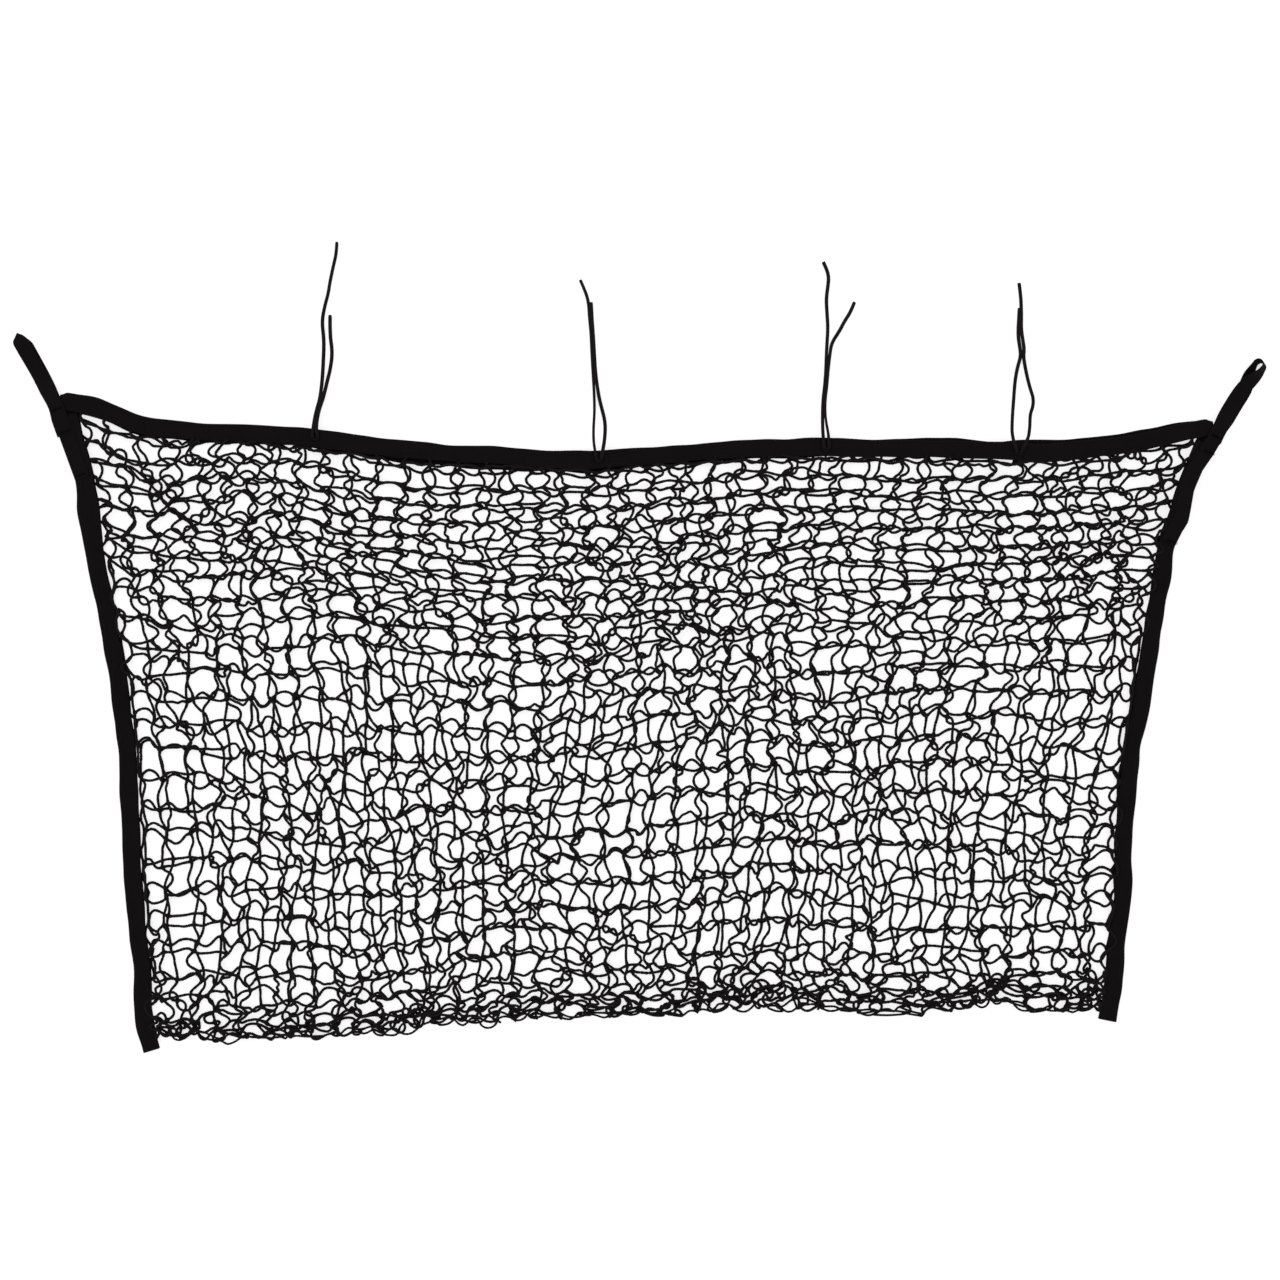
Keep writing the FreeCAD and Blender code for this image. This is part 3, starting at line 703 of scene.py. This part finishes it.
def settle(points, crossing, tables, rests, curls, goals, hold, rounds):
    """Lets the stiff twine find its shape: bars keep their length, bends even out, and
    the twines of each crossing stay nearly square to each other."""
    across, down = tables
    over_at = np.arange(STEPS, across.shape[1] - 1, STEPS)
    down_at = np.arange(STEPS, down.shape[1] - 1, STEPS)
    east, west = across[1:-1, over_at + 1], across[1:-1, over_at - 1]
    south, north = down[1:-1, down_at + 1].T, down[1:-1, down_at - 1].T
    for _ in range(rounds):
        for table, rest in zip(tables, rests):
            for first in (0, 1):
                a, b = table[:, first:-1:2], table[:, first + 1::2]
                gap = points[b] - points[a]
                size = sizes_of(gap)
                move = gap * (0.5 * (size - rest[:, first::2, None]) / size)
                points[a] += move
                points[b] -= move
        for table, curl in zip(tables, curls):
            before, middle, after = table[:, :-2], table[:, 1:-1], table[:, 2:]
            chord = points[after] - points[before]
            normal = turned_left(chord) / sizes_of(chord)
            goal = (points[before] + points[after]) / 2 + curl[..., None] * normal
            move = 0.28 * (goal - points[middle])
            points[middle] += 0.5 * move
            points[before] -= 0.25 * move
            points[after] -= 0.25 * move
        over, under = points[east] - points[west], points[south] - points[north]
        over_size, under_size = sizes_of(over), sizes_of(under)
        skew = 0.05 * (over * under).sum(axis=-1, keepdims=True) / (over_size * under_size)
        turn_over = skew * under * over_size / under_size
        turn_under = skew * over * under_size / over_size
        for spots, move in ((east, -turn_over), (west, turn_over), (south, -turn_under), (north, turn_under)):
            points[spots] += move
        points[crossing] += hold[..., None] * (goals - points[crossing])
    return points


def relaxed_panel(side, seed, shared):
    """One panel's rows and columns of twine in plan, as lines of points."""
    rng = np.random.default_rng(seed)
    way = 1.0 if side == "front" else -1.0
    goals = net_goals(side)
    over = np.arange(COLUMNS + 1)
    inside = smoothstep(over / 3.0) * smoothstep((COLUMNS - over) / 3.0)
    goals = drift(goals, shared["common"], 8 * MM, 0.5)
    goals[1:, :, 0] += way * 8 * MM * shared["sideways"](goals[..., 0], goals[..., 1] * 0.4)[1:] * inside
    goals = drift(goals, shared["apart"], way * 7 * MM)
    goals = drift(goals, (ripple(rng, 0.11), ripple(rng, 0.11)), 3.5 * MM)
    goals = scatter(goals, rng, 0.8 * MM, 2.6 * MM)
    goals, gathered = draw_together(goals)
    crossing, across, down, count = net_lines()
    points = np.zeros((count, 2))
    points[crossing] = goals
    wide = np.linalg.norm(np.diff(goals, axis=1), axis=-1)
    tall = np.linalg.norm(np.diff(goals, axis=0), axis=-1).T
    depth = np.arange(ROWS + 1)[:, None] / ROWS
    slack = 0.04 + rng.uniform(0, 1, wide.shape) ** 1.3 * (0.05 + 0.38 * smoothstep(depth * 1.8))
    slack[-1] *= 0.3
    bars = bar_lengths(wide, slack + 1.1 * np.maximum(gathered[:, 1:], gathered[:, :-1]), rng)
    slack = 0.09 + rng.uniform(0, 1, tall.shape) * 0.56
    slack[:, -BUNCHED:] += rng.uniform(0.0, 0.8, (COLUMNS + 1, BUNCHED))
    slack[:, 0] = 0.08
    slack[[0, -1]] *= 0.6
    posts = bar_lengths(tall, slack + 1.1 * np.maximum(gathered[1:], gathered[:-1]).T, rng)
    checker = (-1.0) ** np.add.outer(np.arange(ROWS + 1), np.arange(COLUMNS + 1))
    pattern = shared["lean"](goals[..., 0], goals[..., 1])
    obeys = rng.random(checker.shape) < 0.6
    lean = np.where(obeys, way * np.sign(pattern) * np.where(np.abs(pattern) < 0.45, checker, 1),
                    rng.choice([-1.0, 1.0], checker.shape))
    bowed(points, across, bars, rng, lean[:, :-1])
    bowed(points, down, posts, rng, -lean[:-1].T)
    rests = [np.repeat(b / STEPS, STEPS, axis=1) for b in (bars, posts)]
    curls = []
    for table, own in ((across, lean[:, :-1]), (down, -lean[:-1].T)):
        shape = (table.shape[0], table.shape[1] - 2)
        bend = own * np.abs(rng.normal(0.55 * MM, 0.4 * MM, own.shape))
        curl = np.repeat(bend, STEPS, axis=1)[:, 1:]
        curl[:, STEPS - 1::STEPS] = 0
        curl = curl + rng.normal(0, 0.38 * MM, shape)
        kinked = rng.random(shape) < 0.055
        curls.append(np.where(kinked, rng.normal(0, 2.3 * MM, shape), curl))
    hold = np.full(goals.shape[:2], 0.05)
    hold[0] = 1.0
    hold[1] = 0.15
    hold[:, 0] = hold[:, -1] = 0.3
    hold[-1] = 0.2
    settle(points, crossing, (across, down), rests, curls, goals, hold, ROUNDS)
    return points[across], points[down], rng


def lay_height(side, lines, rng):
    """Height of the twine: one panel on the surface and the other over it, both rising
    into the rim's tape, with bars that stand up a little between their crossings."""
    x, y = lines[..., 0], lines[..., 1]
    from_rim = np.maximum(rim_y(side, x) - y, 0)
    rim_middle = rim_base(side, x.ravel()).reshape(x.shape) + RIM_HEIGHT / 2
    low, sway, most = PANEL_HEIGHT[side]
    low = low + sway * ripple(rng, 0.16)(x, y)
    base = low + (rim_middle - low) * np.exp(-(from_rim / 0.045) ** 2)
    per_bar = STEPS * FINE
    bars = (lines.shape[1] - 1) // per_bar
    stand = np.minimum(np.abs(rng.normal(0, 0.4, (lines.shape[0], bars))) * most, most)
    place = np.arange(lines.shape[1] - 1)
    arch = np.sin(math.pi * (place % per_bar) / per_bar) ** 2
    lift = np.zeros(lines.shape[:2])
    lift[:, :-1] = np.repeat(stand, per_bar, axis=1) * arch
    z = base + lift * smoothstep(from_rim / 0.04)
    return np.concatenate([lines, np.maximum(z, LOWEST)[..., None]], axis=-1)


def twine_radii(shape, rng):
    """Rough twine whose strands stand out in turn, thicker where it is worked into a crossing."""
    per_bar = STEPS * FINE
    place = np.arange(shape[1])
    near = np.minimum(place % per_bar, per_bar - place % per_bar)
    swell = 0.97 + 0.42 * np.exp(-(near / 2.1) ** 2)
    strands = np.where(place % 2 == 0, 1.05, 0.95)
    return TWINE * swell * strands * rng.normal(1.0, 0.06, shape[:2]).clip(0.84, 1.18)


def fold_arcs(front, back, rng):
    """The bars that turn under at the bottom, from the front panel to the back one."""
    reach = rng.uniform(1.5 * MM, 5 * MM, len(front))
    sway = rng.normal(0, 3 * MM, len(front))
    lines = []
    for f, b, out, off in zip(front, back, reach, sway):
        drop = np.array([off, -out, 0])
        lines.append([f, f + drop * 0.6, (f + b) / 2 + drop, b + drop * 0.6, b])
    return finer(finer(np.array(lines)))


def add_netting():
    waves = np.random.default_rng(11)
    shared = {"common": (ripple(waves, 0.42), ripple(waves, 0.42)),
              "apart": (ripple(waves, 0.19), ripple(waves, 0.19)), "lean": ripple(waves, 0.10),
              "sideways": ripple(waves, 0.30)}
    panels = {}
    for side, seed in (("back", 21), ("front", 34)):
        rows, columns, rng = relaxed_panel(side, seed, shared)
        rows = lay_height(side, finer(finer(rows)), rng)
        columns = lay_height(side, finer(finer(columns)), rng)
        panels[side] = (rows, columns, rng)
    arcs = fold_arcs(panels["front"][1][:, -1], panels["back"][1][:, -1], np.random.default_rng(5))
    per_bar = STEPS * FINE
    for side, (rows, columns, rng) in panels.items():
        row_radii, column_radii = twine_radii(rows.shape, rng), twine_radii(columns.shape, rng)
        row_radii[-1] *= 0.8
        for part, (first, last) in enumerate(zip(CUTS, CUTS[1:])):
            span = slice(first * per_bar, last * per_bar + 1)
            own = slice(first, last + 1 if last == COLUMNS else last)
            batch = Batch().tube(rows[1:, span], row_radii[1:, span])
            batch.tube(columns[own], column_radii[own])
            if side == "front":
                batch.tube(arcs[own], TWINE * 0.8)
            piece = batch.on_net(f"{side}_netting_{part + 1}", "netting", f"{side}_netting")
            if side == "front":
                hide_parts("bottom_fold_netting")


# -------- binding tape and stitches


def folded_section(h):
    """Outline of tape folded over the netting's edge to a height, from the open edge round the
    fold and back inside: (place across, height), with the dent of the row of stitching."""
    t, edge, bulge, dent = TAPE_THICK, TAPE_HALF, min(h / 2, 4.5 * MM), 0.35 * MM
    seam = SEAM - edge
    outer = [(-edge, 0.25 * MM), (-edge + 1.5 * MM, 0), (seam, 0.1 * MM), (-2 * MM, 0), (3 * MM, 0),
             (edge - bulge, 0)]
    turn = [(edge - bulge + bulge * math.sin(a), h / 2 - h / 2 * math.cos(a))
            for a in np.linspace(0.35, math.pi - 0.35, 6)]
    top = [(edge - bulge, h), (3 * MM, h - 0.05 * MM), (-2 * MM, h - 0.1 * MM),
           (seam + 1.1 * MM, h - 0.15 * MM), (seam, h - dent), (seam - 1.1 * MM, h - 0.2 * MM),
           (-edge + 1.2 * MM, h - 0.35 * MM), (-edge, h - 0.6 * MM)]
    inside = [(-edge, h - 0.6 * MM - t), (seam, h - dent - t), (edge - bulge, h - t), (edge - t, h / 2),
              (edge - bulge, t), (seam, t), (-edge, 0.25 * MM + t)]
    return np.array(outer + turn + top + inside)


def even_line(line, step):
    """The line again with even steps."""
    far = lengths(line)
    count = max(int(far[-1] / step), 2)
    at = np.linspace(0, far[-1], count + 1)
    return np.column_stack([np.interp(at, far, line[:, k]) for k in range(line.shape[1])])


def longer(line, start=0.0, stop=0.0):
    """The line with straight ends added to it."""
    added = []
    for k, j, extra in ((0, 3, start), (-1, -4, stop)):
        step = line[k] - line[j]
        added.append(line[k] + step / np.linalg.norm(step) * extra)
    return np.vstack([added[0]] * (start > 0) + [line] + [added[1]] * (stop > 0))


def softened(line):
    """The line with its small corners worn off, in the tapes' even steps."""
    line = even_line(line, TAPE_STEP)
    for _ in range(4):
        line = np.vstack([line[:1], (line[:-2] + 2 * line[1:-1] + line[2:]) / 4, line[-1:]])
    return even_line(line, TAPE_STEP)


def tape_surface(line, fold, base, height, seed, round_ends=0.0, opened=0.0):
    """Sections of one tape: fold is 1 where the folded edge is on the left of the line,
    round_ends narrows its ends, and opened widens it at OPENED_AT."""
    rng = np.random.default_rng(seed)
    tangent = directions(line)
    outward = turned_left(tangent) * fold
    far = lengths(line)
    height = np.broadcast_to(height, len(line))
    waver = ripple(rng, 0.09)(far, far * 0) * 0.8 * MM
    pucker = ripple(rng, 0.016)(far, far * 0) * 0.18 * MM
    width = 1.02 + 0.04 * ripple(rng, 0.05)(far, far * 0)
    spread = opened * np.exp(-((line[:, 1] - OPENED_AT) / OPENED_REACH) ** 2)
    width, waver = width + spread, waver + spread * TAPE_HALF
    to_end = np.minimum(far, far[-1] - far)
    width = width * (1 - round_ends * (1 - smoothstep(to_end / (10 * MM))))
    rings = []
    for k in range(len(line)):
        section = folded_section(height[k])
        across = section[:, 0] * width[k] + waver[k]
        up = base[k] + section[:, 1] + np.where(section[:, 1] > 2 * MM, pucker[k], 0)
        rings.append(np.column_stack([line[k] + outward[k] * across[:, None], np.maximum(up, 0.05 * MM)]))
    rings = np.array(rings)
    if fold < 0:
        rings = rings[:, ::-1]
    middle = np.column_stack([line, base + 2 * MM])
    steps = np.linalg.norm(np.diff(np.vstack([section, section[:1]]), axis=0), axis=1)
    unroll = np.concatenate([[0], np.cumsum(steps)])
    return rings[None], middle[None], unroll if fold > 0 else unroll[-1] - unroll[::-1]


def stitch_marks(line, offset, height, seed, pitch=3.4 * MM):
    """Separate stitches along a line: each one a short thread that dives at both ends."""
    rng = np.random.default_rng(seed)
    base = even_line(line, pitch)
    tangent = directions(base)
    left = turned_left(tangent)
    centre = base + left * offset
    made = []
    for k in range(1, len(base) - 1):
        skewed = tangent[k] + left[k] * rng.normal(0, 0.05)
        row = []
        for t, z in ((-0.42, -0.55), (-0.34, 0.1), (0.0, 0.3), (0.34, 0.1), (0.42, -0.55)):
            spot = centre[k] + skewed * pitch * t
            row.append((spot[0], spot[1], height(spot[0], spot[1]) + z * MM))
        made.append(row)
    return np.array(made)


def add_rims():
    for number, side in enumerate(("back", "front")):
        tape, stitching = RIMS[side]
        line = softened(longer(RIM_LINE[side], RIM_OVER, RIM_OVER))
        surface = tape_surface(line, 1, rim_base(side, line[:, 0]), RIM_HEIGHT, 40 + number, 0.4)
        piece = Batch().add(*surface).on_net(f"{side}_rim_binding", "tape", tape)

        def top(x, y, side=side):
            return float(rim_base(side, np.array([x]))[0]) + RIM_HEIGHT - 0.35 * MM

        marks = stitch_marks(line, SEAM - TAPE_HALF, top, 60 + number)
        threads = Batch().tube(marks, THREAD, 5).on_net(f"{side}_rim_stitches", "thread", stitching)


def add_sides():
    for side, way in SIDES.items():
        line = softened(longer(SIDE_LINE[side], 0, TUCKED))
        far = lengths(line)
        tucked = smoothstep((far - far[-1] + TUCKED) / (3 * MM))
        height = side_height(side, line[:, 1]) * (1 - tucked) + 4.5 * MM * tucked
        surface = tape_surface(line, -way, UNDER + 4.8 * MM * tucked, height, 50 + way,
                               opened=OPENED if side == "left" else 0)
        piece = Batch().add(*surface).on_net(f"{side}_side_binding", "tape", f"{side}_side_tape")
        batch = Batch()
        for offset, sunk in ((SEAM - TAPE_HALF, 0.3 * MM), (TAPE_HALF - 5.5 * MM, 0.05 * MM)):

            def top(x, y, side=side, sunk=sunk):
                return float(side_height(side, y)) - sunk

            batch.tube(stitch_marks(line[tucked == 0], -way * offset, top, 70 + way), THREAD, 5)
        threads = batch.on_net(f"{side}_side_stitches", "thread")


# -------- hanging loops


def heading(degrees):
    return np.array([math.cos(math.radians(degrees)), math.sin(math.radians(degrees))])


def plan_point(side, loop, far):
    """Place and direction in plan at a distance out along the loop, or back along the tail."""
    root, out, back = np.array(loop["root"]), heading(loop["loop"]), heading(loop["tail"])
    turn = 14 * MM
    if far > turn:
        return root + out * far, out
    if far < -turn and side == "right":
        line = np.array(BENT_TAIL)
        at = np.array([-far, -far - 4 * MM])
        spot, ahead = np.column_stack([np.interp(at, lengths(line), line[:, k]) for k in (0, 1)])
        return spot, (ahead - spot) / np.linalg.norm(ahead - spot)
    if far < -turn:
        return root - back * far, -back
    t = (far + turn) / (2 * turn)
    start, stop = root + back * turn, root + out * turn
    spot = start * (1 - t) ** 2 + root * 2 * t * (1 - t) + stop * t * t
    way = (root - start) * (1 - t) + (stop - root) * t
    return spot, way / np.linalg.norm(way)


def lower_height(far):
    """Middle of the lower layer of a loop: sewn on the tape, then down to the surface."""
    return STRAP_LOW + (15.0 * MM - STRAP_LOW) * (1 - smoothstep(far / SLOPE))


def loop_profile(loop):
    """(distance, height, layer) along the whole strap, from the long tail's end round the
    eye to the short tail's end. The layer is 0 below and 1 above."""
    eye = loop["eye"]
    end = loop["length"] - eye
    step = 2.5 * MM
    path = [(far, float(lower_height(max(far, 0))), 0) for far in np.arange(-loop["long"], end, step)]
    path += [(end + eye * math.sin(a), STRAP_LOW + eye - eye * math.cos(a), a / math.pi)
             for a in np.linspace(0.15, math.pi - 0.15, 9)]
    for far in np.arange(end, -loop["short"], -step):
        spread = smoothstep((far - 0.45 * end) / (0.5 * end))
        gap = STRAP_THICK * 1.05 + (2 * eye - STRAP_THICK) * spread
        path.append((far, float(lower_height(max(far, 0))) + gap, 1))
    return np.array(path)


STRAP_SECTION = np.array([(-1.0, -0.25), (-0.96, -0.5), (-0.5, -0.46), (0.0, -0.5), (0.5, -0.46),
                          (0.96, -0.5), (1.0, -0.25), (1.0, 0.25), (0.96, 0.5), (0.5, 0.46), (0.0, 0.5),
                          (-0.5, 0.46), (-0.96, 0.5), (-1.0, 0.25)]) * [STRAP_HALF, STRAP_THICK]


def splayed(side, far, out, layer):
    """How far one layer of a strap lies to the side of the other's place."""
    if far > 0:
        most = 1.3 * MM if side == "left" else 1.9 * MM * (1 - smoothstep((out - 0.5) / 0.3))
        most *= 2 * layer - 1
    else:
        most = layer * 2.2 * MM if side == "left" else 0
    return most * smoothstep(abs(far) / (25 * MM))


def slanted(out, across):
    """How much shorter the left loop is at one side of its strap, towards its pointed end."""
    point = across + 1.9 * MM
    slide = (0.75 * max(point, 0) + 2.3 * max(-point, 0)) - 3 * MM
    return slide * -float(smoothstep((out - 0.55) / 0.45))


def loop_surface(side, loop):
    """Sections of the strap. The left loop's fold is slanted to a point, and the right
    loop turns on its edge towards its end, so its eye is open to above."""
    path = loop_profile(loop)
    step = directions(path[:, :2])
    size, eye = loop["length"], loop["eye"]
    rings, middle = [], []
    for (far, height, layer), (forward, up) in zip(path, step):
        out = np.clip(far / size, 0, 1)
        roll = math.radians(RIGHT_ROLL) * smoothstep((out - 0.60) / 0.36) if side == "right" else 0.0
        sin, cos = math.sin(roll), math.cos(roll)
        own = STRAP_LOW + eye * smoothstep((far - 0.3 * size) / (0.5 * size))
        lift = own + (STRAP_HALF * sin - own + eye * cos * 0.6) * sin
        splay = splayed(side, far, out, layer)
        ring = []
        for across, off in STRAP_SECTION:
            slide = slanted(out, across) if side == "left" else 0.0
            place, way = plan_point(side, loop, far + slide - off * up)
            wide = turned_left(way)
            z = height + off * forward
            turned = (across + splay) * cos - (z - own) * sin
            raised = across * sin + (z - own) * cos
            ring.append((*(place + wide * turned), max(raised + lift, UNDER)))
        rings.append(ring)
        place, _ = plan_point(side, loop, far)
        middle.append((*place, height))
    return np.array(rings), np.array(middle)


def add_bartack(node, loop):
    """A dense zigzag of thread across the strap, where the frame has its bar tack."""
    low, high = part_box(node)
    centre = (low + high) / 2
    along = heading(loop["tail"])
    wide = turned_left(along)
    line = [(*(np.array(centre[:2]) + wide * r * 7.6 * MM + along * (1.5 * MM if k % 2 else -1.5 * MM)),
             high.z - 0.1 * MM) for k, r in enumerate(np.linspace(-1, 1, 26))]
    return Batch().tube(line, TACK_THREAD, 5).on_net(f"{node}_zigzag", "thread", node)


def add_loops():
    outline = np.vstack([STRAP_SECTION, STRAP_SECTION[:1]])
    unroll = lengths(outline)
    for side, loop in LOOPS.items():
        rings, middle = loop_surface(side, loop)
        strap = Batch().add(rings[None], middle[None], unroll).build(f"{side}_loop_webbing", "webbing")
        tacks = [add_bartack(f"{side}_loop_{place}_bartack", loop) for place in ("upper", "middle", "lower")]
        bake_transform(strap)
        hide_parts(f"{side}_loop_strap", f"{side}_loop_long_tail", f"{side}_loop_short_tail")


# -------- ties


def route_line(name, points):
    """The smooth line of a route: its own spline, read back as points."""
    data = bpy.data.curves.new(f"{name}_route", "CURVE")
    data.dimensions = "3D"
    data.resolution_u = 14
    spline = data.splines.new("NURBS")
    spline.points.add(len(points) - 1)
    for spot, place in zip(spline.points, points):
        spot.co = (*place, 1.0) if len(place) == 3 else (*place, CORD_LOW, 1.0)
    spline.order_u = 3
    spline.use_endpoint_u = True
    carrier = bpy.data.objects.new(f"{name}_route", data)
    bpy.context.scene.collection.objects.link(carrier)
    mesh = bpy.data.meshes.new_from_object(carrier)
    line = np.array([v.co for v in mesh.vertices])
    bpy.data.objects.remove(carrier)
    bpy.data.meshes.remove(mesh)
    bpy.data.curves.remove(data)
    return line


def flat_cord(line, rolls):
    """Sections of a flat braided cord that turns between flat and edge-on along its way."""
    side, up = square_to(line)
    share = lengths(line) / lengths(line)[-1]
    roll = np.interp(share, np.linspace(0, 1, len(rolls)), rolls)[:, None] * math.pi / 2
    turn = np.arange(CORD_SIDES)[:, None] * math.tau / CORD_SIDES
    wide, thick = CORD_WIDE / 2 * np.cos(turn), CORD_FLAT / 2 * np.sin(turn)
    across = side * np.cos(roll) + up * np.sin(roll)
    over = up * np.cos(roll) - side * np.sin(roll)
    across[-1], over[-1] = across[-1] * CORD_TIP, over[-1] * CORD_TIP
    return line[:, None] + wide * across[:, None] + thick * over[:, None]


def cord_batch(line, rolls):
    return Batch().add(flat_cord(line, rolls)[None], line[None], np.arange(CORD_SIDES + 1) / CORD_SIDES)


def add_tails(name, tie):
    for tail in ("left_tail", "right_tail"):
        facts = tie[tail]
        line = route_line(f"{name}_{tail}", facts["points"])
        piece = cord_batch(line, facts["roll"]).on_net(f"{name}_{tail}_cord", "cord", f"{name}_{tail}")


def add_bight(name, tie):
    """A tie's folded middle, and the zigzag of thread that holds it on the rim."""
    x, y = tie["root"]
    z = tie["right_tail"]["points"][0][2]
    ends = 1.6 * MM
    line = [(x - BIGHT, y + ends, z), (x - BIGHT, y + ends / 2, z)]
    line += [(x - BIGHT * math.cos(a), y - BIGHT * math.sin(a), z) for a in np.linspace(0, math.pi, 13)]
    line += [(x + BIGHT, y + ends / 2, z), (x + BIGHT, y + ends, z)]
    rolls = (tie["left_tail"]["roll"][0], 0.5, tie["right_tail"]["roll"][0])
    cord_batch(np.array(line), rolls).on_net(f"{name}_folded_middle", "cord", f"{name}_bight")
    top = float(rim_base("front", np.array([x]))[0]) + RIM_HEIGHT + 0.3 * MM
    zigzag = [(x + r * 7.4 * MM, y - 2.5 * MM + (1.4 * MM if k % 2 else -1.4 * MM),
               top + 4.6 * MM * math.exp(-(r * 7.4 / 5.2) ** 4))
              for k, r in enumerate(np.linspace(-1, 1, 21))]
    Batch().tube(zigzag, TACK_THREAD, 5).on_net(f"{name}_bartack_zigzag", "thread", f"{name}_bartack")


def add_ties():
    for name, tie in TIES.items():
        add_tails(name, tie)
        add_bight(name, tie)


# -------- the whole net

add_camera()
add_studio()
add_floor()
add_ties()
add_rims()
add_sides()
add_loops()
add_netting()
